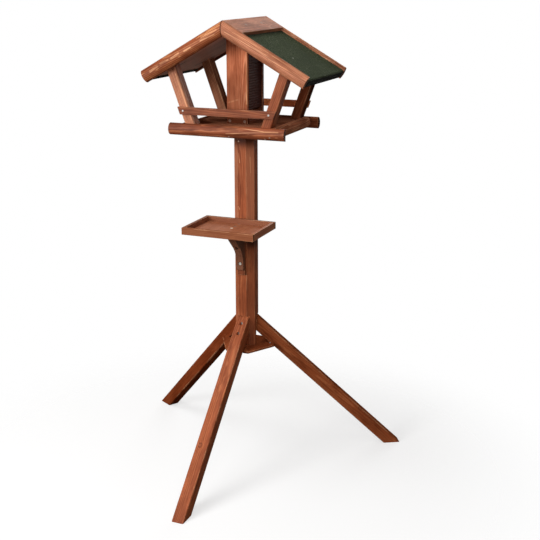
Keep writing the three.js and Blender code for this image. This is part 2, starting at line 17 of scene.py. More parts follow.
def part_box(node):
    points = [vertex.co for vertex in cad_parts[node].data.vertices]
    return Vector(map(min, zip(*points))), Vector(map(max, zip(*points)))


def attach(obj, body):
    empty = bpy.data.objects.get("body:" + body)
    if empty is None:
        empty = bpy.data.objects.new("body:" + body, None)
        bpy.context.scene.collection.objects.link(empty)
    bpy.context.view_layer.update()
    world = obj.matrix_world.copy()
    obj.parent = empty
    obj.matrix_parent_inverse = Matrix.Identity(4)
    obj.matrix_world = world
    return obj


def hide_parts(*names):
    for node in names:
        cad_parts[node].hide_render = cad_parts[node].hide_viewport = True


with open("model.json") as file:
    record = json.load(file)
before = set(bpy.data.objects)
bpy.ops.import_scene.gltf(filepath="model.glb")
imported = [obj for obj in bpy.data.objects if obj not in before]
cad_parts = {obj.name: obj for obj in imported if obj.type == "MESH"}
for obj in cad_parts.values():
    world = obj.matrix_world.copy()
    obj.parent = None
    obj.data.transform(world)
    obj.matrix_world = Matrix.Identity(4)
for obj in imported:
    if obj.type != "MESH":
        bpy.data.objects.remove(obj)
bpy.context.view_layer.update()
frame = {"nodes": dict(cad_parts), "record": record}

MM = 0.001
UP = Vector((0, 0, 1))
INWARD = Vector((0, 1, 0))

post_low, post_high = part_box("post")
axis = Vector(((post_low.x + post_high.x) / 2, (post_low.y + post_high.y) / 2, 0))

# Camera, fitted to the photograph
IMAGE_SIDE = 540
FOCAL_PIXELS = 1010.7
SENSOR_SIDE = 36
CAMERA_AZIMUTH = 23.65
CAMERA_DISTANCE = 2769.7 * MM
CAMERA_HEIGHT = 1375.8 * MM
CAMERA_TURN = -1.37
CAMERA_DIP = 16.4
NEAREST_SEEN = 0.05
FARTHEST_SEEN = 50

# Dressing of the timber
ARRIS_WIDTHS = {
    "post": 1.4 * MM,
    "leg": 1.6 * MM,
    "barge_rail": 1.3 * MM,
    "base_rail": 1.3 * MM,
    "corner_post": 1.0 * MM,
    "tray_rim": 1.1 * MM,
}
FINE_ARRIS = 0.7 * MM
ARRIS_STEPS = 4
SHORTEST_ARRIS = 3.2 * MM
SHARP = math.radians(25)
SMOOTH = math.radians(32)
MERGE = 0.01 * MM
LEVEL = math.radians(0.5)
FACING_DOWN = -0.9
FLAT_SLOT = 0
ARRIS_SLOT = 1

# Screws
HEAD_SIDES = 28
HEAD_RADIUS = 4.0 * MM
HEAD_RIM = 0.5 * MM
HEAD_HEIGHT = 2.4 * MM
SHANK_RADIUS = 2.0 * MM
SHANK_LENGTH = 20 * MM
SHANK_TAPER = 0.9
POINT_LENGTH = 4 * MM
POINT_TAPER = 0.1
BELOW_HEAD = 1.2 * HEAD_HEIGHT
RECESS_SPAN = 3.9 * MM
RECESS_WIDTH = 0.95 * MM
RECESS_HEIGHT = 3.0 * MM
RECESS_RISE = 0.1 * MM
RECESS_TAPER = 0.35
SPIN_SEED = 7
# A screw's rim in its solid: how near its places are to the widest one, and to the head's face
RIM_SHARE = 0.98
RIM_DEPTH = 0.1 * MM

# Nails
NAIL_SIDES = 20
NAIL_RADIUS = 2.3 * MM
NAIL_HEAD_THICKNESS = 0.7 * MM
NAIL_HEAD_PROUD = 0.5 * MM
NAIL_RIM = 0.25 * MM
NAIL_RIM_STEPS = 2
NAIL_SHANK_SHARE = 0.45
NAIL_LENGTH = 24 * MM
LATH_NAIL_WIDENING = 1.15
# Nails of a base rail, each by its way along from the axis and its share of the rail's height
RAIL_NAILS = {"rail_middle": (11 * MM, 0.2), "rail_right": (113 * MM, 0.17), "rail_corner": (127 * MM, 0.3)}
LATH_NAILS = {"lath_left": -125 * MM, "lath_right": 121 * MM}
TOE_NAIL_ASIDE = -9 * MM
TOE_NAIL_DEPTH = 34 * MM

# Ribbed sheets
RIB_PITCH = 6.7 * MM
RIB_HEIGHT = 0.6 * MM
RIB_STEPS = 10
RIB_SMOOTH = math.radians(50)
SHEET_THICKNESS = 1.0 * MM

# Felt
EAVE_BEND = 4.5 * MM
EAVE_BEND_STEPS = 5
EAVE_REACH = 0.5 * MM

# Stains, each as the bright, the light and the dark colour of its grain
STAINS = {
    "amber": ((0.78, 0.350, 0.140), (0.38, 0.098, 0.034), (0.15, 0.030, 0.010)),
    "russet": ((0.56, 0.180, 0.070), (0.43, 0.109, 0.038), (0.19, 0.041, 0.013)),
    "chestnut": ((0.60, 0.210, 0.090), (0.37, 0.097, 0.038), (0.125, 0.028, 0.010)),
    "dusty": ((0.80, 0.420, 0.250), (0.59, 0.215, 0.110), (0.21, 0.062, 0.028)),
    "sienna": ((0.60, 0.245, 0.130), (0.47, 0.147, 0.071), (0.21, 0.056, 0.025)),
    "umber": ((0.32, 0.120, 0.060), (0.22, 0.067, 0.032), (0.11, 0.030, 0.013)),
    "veneer": ((0.80, 0.510, 0.410), (0.70, 0.420, 0.330), (0.52, 0.300, 0.230)),
    "tray": ((0.52, 0.210, 0.100), (0.44, 0.152, 0.072), (0.31, 0.096, 0.043)),
    "garnet": ((0.50, 0.125, 0.044), (0.40, 0.086, 0.026), (0.22, 0.040, 0.011)),
}
KNOT = (0.110, 0.026, 0.010)
# Colour of the painted shade under ledges and where pieces meet, and of a barge rail's dark mitre line
PAINTED_SHADE_AND_MITRE_DARK = (0.078, 0.018, 0.007)
WORN = (0.74, 0.40, 0.22)
PALE = (0.82, 0.41, 0.20)
FACET = (0.62, 0.24, 0.13)

# The start of a piece's name, with the piece's stain and how light this length of it came out. Some tones
# are painted light and shade, marked where they stand
STAIN_TONES_AND_PAINTED_LIGHT = {
    "barge_rail_front_left": ("amber", 0.86),
    "barge_rail_front_right": ("dusty", 0.95),
    # Painted shade: set dark for the shade on this rail's inner face
    "barge_rail_back_left": ("umber", 0.7),
    "barge_rail": ("dusty", 1.05),
    "base_rail_back": ("chestnut", 0.50),
    "base_rail_right": ("dusty", 0.95),
    "base_rail": ("chestnut", 0.82),
    "base_plate": ("russet", 0.90),
    "bracket_batten": ("chestnut", 0.85),
    "cap_gusset": ("chestnut", 1.0),
    "corner_post_front_left": ("dusty", 0.88),
    "corner_post_front_right": ("russet", 0.80),
    "corner_post_back_left": ("dusty", 0.46),
    # Painted shade: set dark for the roof's shade on this post
    "corner_post_back_right": ("chestnut", 0.38),
    # Painted shade: set dark for the front rail's shadow on the floor
    "house_floor": ("dusty", 0.52),
    # Painted light: set far lighter than its stain, for light that barely reaches the back lath
    "lath_back": ("russet", 2.9),
    "lath": ("chestnut", 0.73),
    "leg_front": ("russet", 0.98),
    "leg_left": ("garnet", 0.56),
    "leg_right": ("russet", 0.78),
    "ridge_board": ("dusty", 1.05),
    "roof_panel": ("veneer", 0.98),
    "seed_spreader": ("chestnut", 0.8),
    # Painted shade: set dark for the shade inside the silo
    "silo_board_back": ("chestnut", 0.50),
    "silo_board": ("sienna", 0.98),
    "tray_bracket": ("dusty", 0.39),
    "tray_floor": ("tray", 1.06),
    "tray_rim_right": ("tray", 1.05),
    "tray_rim": ("tray", 0.66),
    "post": ("russet", 0.94),
}
USUAL_FINISH = ("russet", 1.0)

# Gloss and wear
DULL = (
    "base_plate", "base_rail_back", "base_rail_right", "corner_post_back", "house_floor", "leg_left",
    "leg_right", "silo_board_front", "tray_rim_front",
)
USUAL_GLOSS = 0.16
WEAR = {"corner_post_front_right": 0.25, "corner_post_back_right": 0.2, "lath_front": 0.35}
USUAL_WEAR = 0.65

# How far the pith lies from a piece's middle: half-round stock is near it, boards are not
PITH = {"barge_rail": 5 * MM, "base_rail": 6 * MM, "leg": 17 * MM, "post": 9 * MM, "roof_panel": 300 * MM}
USUAL_PITH = 26 * MM
# A piece's grain starts anywhere along a stem that runs this far either way
GRAIN_RUN = 4

# Growth rings: their width, how a stem tapers, and how far they bow and ripple
RING_WIDTHS = (2.6, 4.2)
STEM_TAPERS = (0.008, 0.02)
BOW_DEPTH = 26 * MM
RIPPLE_DEPTH = 2.4 * MM

# Patterns in the grain: the share of its fineness that each keeps along the grain, its fineness
# across the grain, its detail and its roughness
PATTERNS = {
    "bow": (0.16, 11.0, 1.0, 0.4),
    "ripple": (0.30, 60.0, 2.0, 0.5),
    "streak": (0.045, 230.0, 3.0, 0.65),
    "fibre": (0.03, 1300.0, 2.0, 0.6),
    "soak": (0.35, 26.0, 3.0, 0.6),
    "bare": (0.22, 75.0, 3.0, 0.65),
    "rub": (0.25, 52.0, 3.0, 0.6),
}

# Spans: where a pattern starts and ends, and in some what it gives at its start and its end.
# Early wood, late lines and a knot's rim have two spans, one for each side
EARLY_WOOD = ((0.0, 0.75), (0.98, 0.80))
LATE_LINE = ((0.66, 0.82), (0.99, 0.90))
STREAK_SPAN = (0.34, 0.66)
FIBRE_SPAN = (0.3, 0.7)
SOAK_SPAN = (0.32, 0.68, -0.30, 0.26)
LINE_PALENESS = (0.62, 0.40, 0.18, 0.72)
BARE_PALENESS = (0.60, 0.72, 0.0, 0.7)
STROKE_PALENESS = (0.62, 0.38, 0.15, 0.72)
STROKE_CORE_SHARE = 0.3
RUB_SPAN = (0.40, 0.60)
END_GRAIN_SPAN = (0.55, 0.80, 0.0, 0.75)
KNOT_RIM = ((0.55, 0.95), (1.4, 1.0))
KNOT_HEART = (0.9, 0.1, 0.0, 0.45)

# How much each pattern deepens the stain, or shows over it
EARLY_WOOD_DEPTH = 0.34
STREAK_DEPTH = 0.40
FIBRE_DEPTH = 0.22
END_GRAIN_DEPTH = 0.6
KNOT_LENGTH_SHARE = 0.7
KNOT_PUSH = 1.8
KNOT_SHARE = 0.75
PAINTED_SHADE_AND_MITRE_SHARE = 0.93
MITRE_LINE = (2.2 * MM, 0.9 * MM)

# Surface of the timber: its roughness, which rises in the streaks, and its relief
TIMBER_ROUGHNESS = 0.36
STREAK_ROUGHNESS = 0.25
LINE_RELIEF = 0.5
FIBRE_RELIEF = 0.9
STREAK_RELIEF = 0.6
TIMBER_RELIEF_DEPTH = 0.3 * MM
TIMBER_RELIEF_STRENGTH = 0.8

# The post's slanted facets are paler, and most so high up
FACET_PALENESS = 0.48
FACET_SLANT = (0.25, 0.45)
FACET_HEIGHTS = (620 * MM, 740 * MM, 0.2, 1.0)

# Painted light and shade: a piece painted darker towards its foot and lighter at its top, for how the light
# falls on it; its heights, and the tones at them
PAINTED_LIGHT_FADES = {"silo_board_front": (1045 * MM, 1165 * MM, 0.80, 1.50)}

# Zinc plate: its dark and its light colour, how metallic it looks and its gloss
ZINC_FINISHES = {
    "zinc_plate": ((0.46, 0.43, 0.38), (0.66, 0.63, 0.57), 0.3, 0.5),
    "bright_zinc_plate": ((0.43, 0.42, 0.39), (0.66, 0.64, 0.60), 0.0, 0.5),
    # Painted highlight: a near-white head standing in for a screw's glint
    "glinting_zinc_plate": ((0.98, 0.86, 0.64), (1.0, 0.95, 0.78), 0.0, 0.5),
    # Painted shade: the silo screws are painted dark for the lath's shadow over them
    "dark_zinc_plate": ((0.10, 0.050, 0.034), (0.24, 0.14, 0.10), 0.0, 0.05),
    "stained_zinc_plate": ((0.24, 0.13, 0.09), (0.46, 0.30, 0.22), 0.3, 0.5),
}
# Some fixings were stained over with the wood, some stayed bright; the silo screws are painted dark as
# painted shade, and one tray screw near white as a painted highlight
FIXING_FINISHES = {
    "cap_screw": "stained_zinc_plate",
    # Painted shade: dark for the lath's shadow
    "silo_screw": "dark_zinc_plate",
    "tray_screw_1": "stained_zinc_plate",
    "tray_screw_2": "stained_zinc_plate",
    # Painted highlight: the head's glint painted near white
    "tray_screw_3": "glinting_zinc_plate",
    "rail": "stained_zinc_plate",
    "post_toe": "stained_zinc_plate",
    "lath": "bright_zinc_plate",
}
USUAL_FIXING_FINISH = "zinc_plate"
CLOUD_PATTERN = (500.0, 3.0, 0.6)
ZINC_ROUGHNESS = 0.28
CLOUD_ROUGHNESS = 0.25
CLOUD_RELIEF_DEPTH = 0.05 * MM

# Felt colours
GRANULE_DARK = (0.016, 0.026, 0.010)
GRANULE_LIGHT = (0.076, 0.100, 0.048)
CLUMP_LIGHT = (0.084, 0.110, 0.056)
CLUMP_DARK = (0.014, 0.022, 0.009)
SPECK = (0.36, 0.38, 0.29)
DRIFT = (0.026, 0.038, 0.016)
CHIPPED = (0.60, 0.60, 0.52)
# Black of the bitumen, also painted on the eave's downward edge as painted shade
BITUMEN_AND_PAINTED_SHADE = (0.010, 0.010, 0.010)

# Felt patterns: fineness of its granules, clumps and drifts, and which of their tints take a colour
GRANULE_FINENESS = 900.0
CLUMP_FINENESS = 330.0
DRIFT_PATTERN = (14.0, 4.0, 0.6)
LIGHT_GRANULES = (0.1, 0.8)
LIGHT_CLUMPS = (0.55, 0.9, 0.0, 0.45)
DARK_CLUMPS = (0.2, 0.05, 0.0, 0.5)
SPECKED_CLUMPS = (0.965, 0.975)
SPECK_EDGE = (0.34, 0.22)
SPECKED_GRANULES = (0.972, 0.985)
SPECK_SHARE = 0.55
DARK_DRIFTS = (0.35, 0.7, 0.0, 0.35)
TURNED_UP = (-0.60, 0.25)

# Surface of the felt
FELT_ROUGHNESS = 0.93
FELT_GLOSS = 0.25
CLUMP_RELIEF = 0.7
DRIFT_RELIEF = 0.8
FELT_RELIEF_DEPTH = 0.6 * MM

# Plastic sheet painted dark, standing in for the shaded inside of the silo seen through it (painted shade),
# and the dust in its ribs
SHEET_PAINTED_SHADE = (0.070, 0.025, 0.019)
DUST = (0.130, 0.054, 0.042)
DUST_PATTERN = (120.0, 4.0, 0.7)
DUST_SPAN = (0.4, 0.75)
SHEET_ROUGHNESS = (0.3, 0.8, 0.50, 0.65)
SHEET_GLOSS = 0.08
DUST_RELIEF_DEPTH = 0.03 * MM

# Stage
FLOOR_SIDES = 64
FLOOR_RADIUS = 7
FLOOR_DROP = 0.5 * MM
FLOOR_PAINT = (0.95, 0.95, 0.95, 1)
FLOOR_ROUGHNESS = 0.9
FLOOR_BOUNCE = (0.15, 0.13, 0.11, 1)
FLOOR_GLOW = 1.05
FLOOR_GLOW_SHARE = 0.6
FLOOR_FADE = (0.45, 1.05)
WHITE = (1, 1, 1, 1)
SOFT_LIGHT = (1.0, 0.90, 0.82, 1)
SOFT_LIGHT_STRENGTH = 0.12
# Soft square lamps: azimuth from the front, height, distance, side, power and the height they face
LAMPS = {
    "key": (-28, 1.58, 3.2, 1.2, 78, 0.95),
    "top": (-40, 3.2, 1.1, 1.6, 40, 0.9),
    "front_fill": (24, 2.00, 3.2, 1.4, 31, 0.9),
    "back_fill": (184, 1.5, 3.0, 1.8, 31, 0.9),
}


# Places of knots, strokes and chips

def on_axis(x, y, z):
    """A place given from the post's axis, in millimetres."""
    return axis + Vector((x, y, z)) * MM


def drawn(*ends_and_radii):
    """Strokes given as two ends from the post's axis and a radius, all in millimetres."""
    return [(on_axis(*start), on_axis(*end), radius * MM) for start, end, radius in ends_and_radii]


KNOTS = {
    "leg_front": [(on_axis(-5, -310, 152), 4.5 * MM)],
    "leg_right": [(on_axis(301, 154, 118), 4 * MM)],
    "ridge_board_right": [(on_axis(30, 60, 1244), 3 * MM)],
}
# Bare and pale wood, placed against the photograph
PALE_STROKES = {
    "barge_rail_front_left": drawn(
        ((-205, -158, 1126), (-184, -158, 1140), 4.2),
        ((-175, -158, 1147), (-152, -158, 1158), 3.4),
        ((-142, -158, 1161), (-121, -158, 1175), 4.0),
        ((-104, -158, 1181), (-86, -158, 1191), 3.0),
        ((-55, -157, 1217), (-12, -158, 1237), 2.6),
        ((-57, -158, 1208), (-18, -158, 1225), 2.4)),
    # Painted highlight: the long pale lines on the front right barge rail stand in for the gloss along its
    # rounded face
    "barge_rail_front_right": drawn(
        ((11, -158, 1232), (125, -157, 1177), 1.2),
        ((32, -156, 1232), (129, -153, 1183), 0.9),
        ((131, -158, 1168), (224, -157, 1121), 1.1),
        ((140, -153, 1176), (232, -149, 1128), 0.9)),
    "base_plate": drawn(((28, -75, 340), (76, 5, 340), 1.1)),
    "base_rail_front": drawn(
        ((44, -135, 987), (109, -138, 982), 1.5),
        ((4, -140, 971), (109, -138, 980), 1.7),
        ((109, -138, 981), (150, -138, 982), 2.2)),
    "corner_post_front_left": drawn(((-147, -124, 1118), (-104, -124, 1000), 3.2)),
    "post": drawn(
        ((-10, -30, 901), (-6, -30, 875), 1.6),
        ((21, -21, 891), (22, -20, 847), 1.3),
        ((-11, -30, 752), (-7, -30, 744), 1.6)),
    "silo_board_front": drawn(
        ((27.5, -57, 1175), (27.5, -57, 1040), 2.4),
        ((-24, -60.4, 1042), (2, -60.4, 1050), 4.7)),
}
# Painted shade, drawn dark into the wood where shadows fall: under the front rail, the roof, the lath, the
# floor and the tray, and beside the corner posts' tops
PAINTED_SHADE_STROKES = {
    "house_floor": drawn(((-125, -45, 985), (-88, -72, 985), 32)),
    "corner_post_back_right": drawn(((150, 108, 1110), (121, 108, 1046), 32)),
    "silo_board_front": drawn(((-30, -57, 986), (30, -57, 986), 26)),
    "post": drawn(
        ((-25, -30, 951), (22, -24, 951), 44),
        ((25, -18, 656), (30, -10, 656), 35)),
    "roof_panel_left": drawn(
        ((-204, -90, 1113), (-147, -64, 1145), 3.4),
        ((-187, 77, 1123), (-141, 104, 1149), 3.4)),
}
FELT_CHIP = drawn(((151.7, -37.9, 1162.6), (152, -38, 1162.5), 2.8))


# Node helpers

# A Mix node's sockets when it mixes colours: the share, the first and the second colour, the result
COLOUR_MIX_INPUTS = (0, 6, 7)
COLOUR_MIX_OUTPUT = 2


def shader(tree, kind, inputs=None, **settings):
    """A node with its settings, and with each input linked to a socket or set to a value."""
    made = tree.nodes.new(kind)
    for key, value in settings.items():
        setattr(made, key, value)
    for key, value in (inputs or {}).items():
        if isinstance(value, bpy.types.NodeSocket):
            tree.links.new(value, made.inputs[key])
        else:
            made.inputs[key].default_value = value
    return made


def maths(tree, operation, *values, clamp=False):
    made = shader(tree, "ShaderNodeMath", dict(enumerate(values)), operation=operation, use_clamp=clamp)
    return made.outputs[0]


def vectors(tree, operation, *values, output=0):
    made = shader(tree, "ShaderNodeVectorMath", dict(enumerate(values)), operation=operation)
    return made.outputs[output]


def part_of(tree, vector, letter):
    """One of a vector's three parts."""
    return shader(tree, "ShaderNodeSeparateXYZ", {"Vector": vector}).outputs[letter]


def noise(tree, vector, scale, detail, roughness):
    inputs = {"Vector": vector, "Scale": scale, "Detail": detail, "Roughness": roughness}
    return shader(tree, "ShaderNodeTexNoise", inputs).outputs["Fac"]


def span(tree, value, low, high, to_low=0.0, to_high=1.0):
    """A soft step from one value to another as the given value goes from low to high."""
    inputs = {"Value": value, "From Min": low, "From Max": high, "To Min": to_low, "To Max": to_high}
    return shader(tree, "ShaderNodeMapRange", inputs, interpolation_type="SMOOTHSTEP").outputs["Result"]


def blended(tree, share, first, second):
    """A share of the second colour over the first, each a socket or a colour."""
    colours = [(*colour, 1) if isinstance(colour, tuple) else colour for colour in (first, second)]
    inputs = dict(zip(COLOUR_MIX_INPUTS, (share, *colours)))
    return shader(tree, "ShaderNodeMix", inputs, data_type="RGBA").outputs[COLOUR_MIX_OUTPUT]


def new_material(name):
    material = bpy.data.materials.new(name)
    material.use_nodes = True
    tree = material.node_tree
    return material, tree, tree.nodes["Principled BSDF"]


def bumped(tree, principled, height, depth, strength=1.0):
    bump = shader(tree, "ShaderNodeBump", {"Height": height, "Distance": depth, "Strength": strength})
    tree.links.new(bump.outputs["Normal"], principled.inputs["Normal"])


def setting_of(name, settings, usual):
    """The first of the settings whose key starts the piece's name."""
    for start, setting in settings.items():
        if name.startswith(start):
            return setting
    return usual


# Timber

def lie_of_grain(piece, pith, rand):
    """How a piece's grain turns upright, and the shift that sets its pith aside from its middle."""
    along, middle = long_direction(piece)
    turn = along.rotation_difference(UP)
    bearing = rand.uniform(0, 2 * math.pi)
    aside = Vector((math.cos(bearing) * pith, math.sin(bearing) * pith, rand.uniform(-GRAIN_RUN, GRAIN_RUN)))
    return turn, aside - turn.to_matrix() @ middle


def grain_coordinates(tree, turn, shift):
    """Places along the grain, places in the frame, and the way that the surface faces."""
    place = shader(tree, "ShaderNodeTexCoord")
    inputs = {"Vector": place.outputs["Object"], "Rotation": turn.to_euler(), "Location": shift}
    grain = shader(tree, "ShaderNodeMapping", inputs).outputs["Vector"]
    return grain, place.outputs["Object"], place.outputs["Normal"]


def grain_pattern(tree, grain, name):
    """One of the patterns, drawn out along the grain."""
    share_along, *looks = PATTERNS[name]
    return noise(tree, vectors(tree, "MULTIPLY", grain, (1.0, 1.0, share_along)), *looks)


def stroke_field(tree, where, strokes):
    """How far each place lies in one of the soft strokes, each drawn from one place to another."""
    share = 0.0
    for start, end, radius in strokes:
        way = (end - start).normalized()
        from_start = vectors(tree, "SUBTRACT", where, tuple(start))
        ahead = vectors(tree, "DOT_PRODUCT", from_start, tuple(way), output=1)
        ahead = maths(tree, "MAXIMUM", maths(tree, "MINIMUM", ahead, (end - start).length), 0.0)
        nearest = vectors(tree, "MULTIPLY_ADD", ahead, tuple(way), tuple(start))
        distance = vectors(tree, "DISTANCE", where, nearest, output=1)
        share = maths(tree, "MAXIMUM", share, span(tree, distance, radius, STROKE_CORE_SHARE * radius))
    return share


def knot_field(tree, grain, knots, turn, shift):
    """How far the rings are pushed aside by the knots, and the dark of the knots themselves."""
    push = 0.0
    dark = 0.0
    for centre, radius in knots:
        middle = turn.to_matrix() @ centre + shift
        away = vectors(tree, "SUBTRACT", grain, tuple(middle))
        away = vectors(tree, "MULTIPLY", away, (1.0, 1.0, KNOT_LENGTH_SHARE))
        share = maths(tree, "DIVIDE", vectors(tree, "LENGTH", away, output=1), radius)
        one_push = maths(tree, "DIVIDE", KNOT_PUSH, maths(tree, "MULTIPLY_ADD", share, share, 1.0))
        rim = maths(tree, "MULTIPLY", *(span(tree, share, *side) for side in KNOT_RIM))
        heart = span(tree, share, *KNOT_HEART)
        push = maths(tree, "ADD", push, one_push)
        dark = maths(tree, "MAXIMUM", dark, maths(tree, "MAXIMUM", rim, heart))
    return push, dark


def ring_field(tree, grain, push, rand):
    """Growth rings round a pith beside the piece: their early wood and their hard late lines."""
    width = rand.uniform(*RING_WIDTHS) * MM
    taper = rand.choice((-1, 1)) * rand.uniform(*STEM_TAPERS)
    radius = vectors(tree, "LENGTH", vectors(tree, "MULTIPLY", grain, (1.0, 1.0, 0.0)), output=1)
    radius = maths(tree, "MULTIPLY_ADD", part_of(tree, grain, "Z"), taper, radius)
    radius = maths(tree, "MULTIPLY_ADD", grain_pattern(tree, grain, "bow"), BOW_DEPTH, radius)
    radius = maths(tree, "MULTIPLY_ADD", grain_pattern(tree, grain, "ripple"), RIPPLE_DEPTH, radius)
    ring = maths(tree, "FRACT", maths(tree, "ADD", maths(tree, "DIVIDE", radius, width), push))
    early = maths(tree, "MULTIPLY", *(span(tree, ring, *side) for side in EARLY_WOOD))
    line = maths(tree, "MULTIPLY", *(span(tree, ring, *side) for side in LATE_LINE))
    return early, line


def stained_grain(tree, grain, tones, rings, streak, fibre):
    """The stain: deep where the wood soaks it up, pale on the hard lines and where it stayed bare."""
    bright, light, dark = tones
    early, line = rings
    soak = grain_pattern(tree, grain, "soak")
    depth = maths(tree, "MULTIPLY", early, EARLY_WOOD_DEPTH)
    depth = maths(tree, "MULTIPLY_ADD", span(tree, streak, *STREAK_SPAN), STREAK_DEPTH, depth)
    depth = maths(tree, "MULTIPLY_ADD", span(tree, fibre, *FIBRE_SPAN), FIBRE_DEPTH, depth)
    depth = maths(tree, "ADD", depth, span(tree, soak, *SOAK_SPAN), clamp=True)
    pale = maths(tree, "MULTIPLY", line, span(tree, soak, *LINE_PALENESS))
    bare = span(tree, grain_pattern(tree, grain, "bare"), *BARE_PALENESS)
    return blended(tree, maths(tree, "MAXIMUM", pale, bare), blended(tree, depth, light, dark), bright)


def with_pale_facets(tree, colour, where, normal):
    """The post's facets that face neither the front nor a side are paler."""
    slant = maths(tree, "MULTIPLY", part_of(tree, normal, "X"), part_of(tree, normal, "Y"))
    slant = span(tree, maths(tree, "ABSOLUTE", slant), *FACET_SLANT)
    paleness = maths(tree, "MULTIPLY", span(tree, part_of(tree, where, "Z"), *FACET_HEIGHTS), FACET_PALENESS)
    return blended(tree, maths(tree, "MULTIPLY", slant, paleness), colour, FACET)


def with_marks(tree, node, colour, where, streak, knots):
    """Bare strokes, knots, painted shade under ledges and where pieces meet, and the dark line of a barge
    rail's mitre.
    """
    bare = stroke_field(tree, where, PALE_STROKES.get(node, ()))
    bare = maths(tree, "MULTIPLY", bare, span(tree, streak, *STROKE_PALENESS))
    colour = blended(tree, bare, colour, PALE)
    colour = blended(tree, maths(tree, "MULTIPLY", knots, KNOT_SHARE), colour, KNOT)
    # Painted shade: shadows painted dark into the wood, joined by the dark line of a barge rail's mitre
    shade_and_mitre = stroke_field(tree, where, PAINTED_SHADE_STROKES.get(node, ()))
    if node.startswith("barge_rail"):
        from_mitre = maths(tree, "ABSOLUTE", maths(tree, "SUBTRACT", part_of(tree, where, "X"), axis.x))
        shade_and_mitre = maths(tree, "MAXIMUM", shade_and_mitre, span(tree, from_mitre, *MITRE_LINE))
    return blended(tree, maths(tree, "MULTIPLY", shade_and_mitre, PAINTED_SHADE_AND_MITRE_SHARE), colour, PAINTED_SHADE_AND_MITRE_DARK)


def with_end_grain(tree, colour, normal, turn, dark):
    """Sawn ends soak up more stain than the long faces."""
    along = turn.to_matrix().transposed() @ UP
    facing = vectors(tree, "DOT_PRODUCT", normal, tuple(along), output=1)
    end = span(tree, maths(tree, "ABSOLUTE", facing), *END_GRAIN_SPAN)
    return blended(tree, end, colour, tuple(END_GRAIN_DEPTH * c for c in dark))


def with_rubbed_arrises(tree, colour, grain, wear):
    """Along its worn arrises the wood shows pale in places."""
    worn = shader(tree, "ShaderNodeAttribute", attribute_name="worn").outputs["Fac"]
    rub = span(tree, grain_pattern(tree, grain, "rub"), *RUB_SPAN)
    return blended(tree, maths(tree, "MULTIPLY", maths(tree, "MULTIPLY", worn, rub), wear), colour, WORN)


def timber_material(node, piece, seed):
    """A stained softwood whose grain runs along the piece, with its pith aside from its middle."""
    rand = random.Random(seed)
    turn, shift = lie_of_grain(piece, setting_of(node, PITH, USUAL_PITH), rand)
    material, tree, principled = new_material("stain_" + node)
    grain, where, normal = grain_coordinates(tree, turn, shift)
    push, knots = knot_field(tree, grain, KNOTS.get(node, ()), turn, shift)
    rings = ring_field(tree, grain, push, rand)
    streak = grain_pattern(tree, grain, "streak")
    fibre = grain_pattern(tree, grain, "fibre")
    stain, tone = setting_of(node, STAIN_TONES_AND_PAINTED_LIGHT, USUAL_FINISH)
    tones = [tuple(min(1, tone * c) for c in colour) for colour in STAINS[stain]]

    colour = stained_grain(tree, grain, tones, rings, streak, fibre)
    if node == "post":
        colour = with_pale_facets(tree, colour, where, normal)
    # Painted light and shade: darker low down, lighter high up
    if node in PAINTED_LIGHT_FADES:
        colour = vectors(tree, "MULTIPLY", colour, span(tree, part_of(tree, where, "Z"), *PAINTED_LIGHT_FADES[node]))
    colour = with_marks(tree, node, colour, where, streak, knots)
    colour = with_end_grain(tree, colour, normal, turn, tones[-1])
    colour = with_rubbed_arrises(tree, colour, grain, setting_of(node, WEAR, USUAL_WEAR))
    tree.links.new(colour, principled.inputs["Base Color"])

    roughness = maths(tree, "MULTIPLY_ADD", streak, STREAK_ROUGHNESS, TIMBER_ROUGHNESS)
    tree.links.new(roughness, principled.inputs["Roughness"])
    principled.inputs["Specular IOR Level"].default_value = 0.0 if node.startswith(DULL) else USUAL_GLOSS
    _, late_line = rings
    relief = maths(tree, "MULTIPLY", fibre, FIBRE_RELIEF)
    relief = maths(tree, "MULTIPLY_ADD", late_line, LINE_RELIEF, relief)
    relief = maths(tree, "MULTIPLY_ADD", streak, STREAK_RELIEF, relief)
    bumped(tree, principled, relief, TIMBER_RELIEF_DEPTH, TIMBER_RELIEF_STRENGTH)
    return material


# Other finishes

def granules(tree, where, fineness, channel):
    """Small cells: a random tint for each, and the distance from its middle."""
    cells = shader(tree, "ShaderNodeTexVoronoi", {"Vector": where, "Scale": fineness, "Randomness": 1.0})
    tint = shader(tree, "ShaderNodeSeparateColor", {"Color": cells.outputs["Color"]}).outputs[channel]
    return tint, cells.outputs["Distance"]


